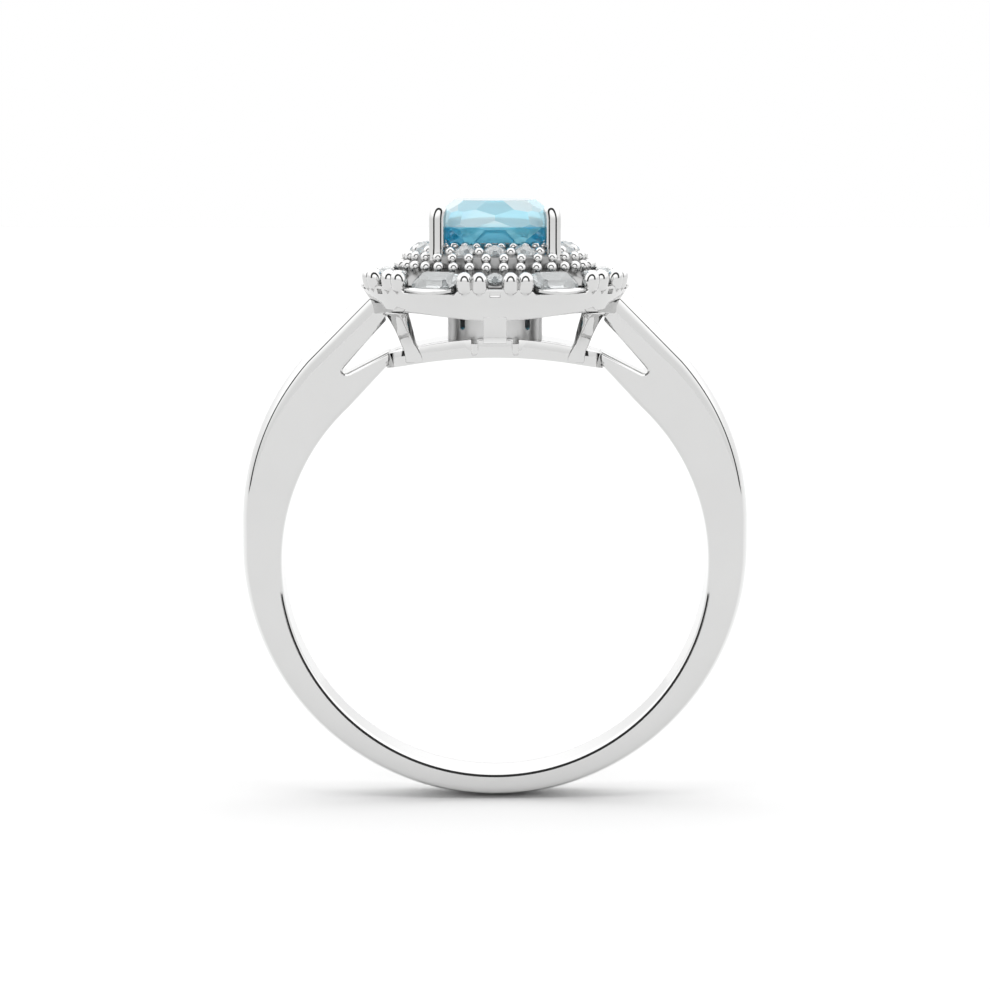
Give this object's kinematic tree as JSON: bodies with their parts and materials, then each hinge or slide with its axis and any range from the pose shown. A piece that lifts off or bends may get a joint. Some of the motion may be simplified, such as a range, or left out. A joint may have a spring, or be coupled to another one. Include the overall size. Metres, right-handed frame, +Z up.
{
  "type": "cocktail ring",
  "caption": "Finger ring with a split-shoulder band, an arched gallery and a stepped flower halo around one raised cushion-cut blue stone.",
  "frame": {"origin": "centre of the finger hole, half-way across the band", "axes": "+Z up through the centre stone, +Y along the finger, +X across the shoulders"},
  "size_m": [0.0206, 0.011, 0.0243],
  "materials": {
    "white_metal": "polished white gold, rhodium bright",
    "blue_stone": "faceted, polished",
    "white_stone": "faceted, polished"
  },
  "bodies": {
    "root": {"base_rail": "white_metal", "centre_collet": "white_metal", "centre_stone": "blue_stone", "foot_beads": "white_metal", "gallery_wall": "white_metal", "gap_claws": "white_metal", "gap_stone_01": "white_stone", "gap_stone_02": "white_stone", "gap_stone_03": "white_stone", "gap_stone_04": "white_stone", "gap_stone_05": "white_stone", "gap_stone_06": "white_stone", "inner_beads": "white_metal", "inner_tier": "white_metal", "outer_beads": "white_metal", "outer_tier": "white_metal", "petal_claws": "white_metal", "petal_stone_01": "white_stone", "petal_stone_02": "white_stone", "petal_stone_03": "white_stone", "petal_stone_04": "white_stone", "petal_stone_05": "white_stone", "petal_stone_06": "white_stone", "pillar_back": "white_metal", "pillar_back_left": "white_metal", "pillar_back_right": "white_metal", "pillar_front": "white_metal", "pillar_front_left": "white_metal", "pillar_front_right": "white_metal", "prong_back_left": "white_metal", "prong_back_right": "white_metal", "prong_front_left": "white_metal", "prong_front_right": "white_metal", "shank": "white_metal", "tier_stone_01": "white_stone", "tier_stone_02": "white_stone", "tier_stone_03": "white_stone", "tier_stone_04": "white_stone", "tier_stone_05": "white_stone", "tier_stone_06": "white_stone", "tier_stone_07": "white_stone", "tier_stone_08": "white_stone", "tier_stone_09": "white_stone", "tier_stone_10": "white_stone", "tier_stone_11": "white_stone", "tier_stone_12": "white_stone"}
  },
  "joints": []
}
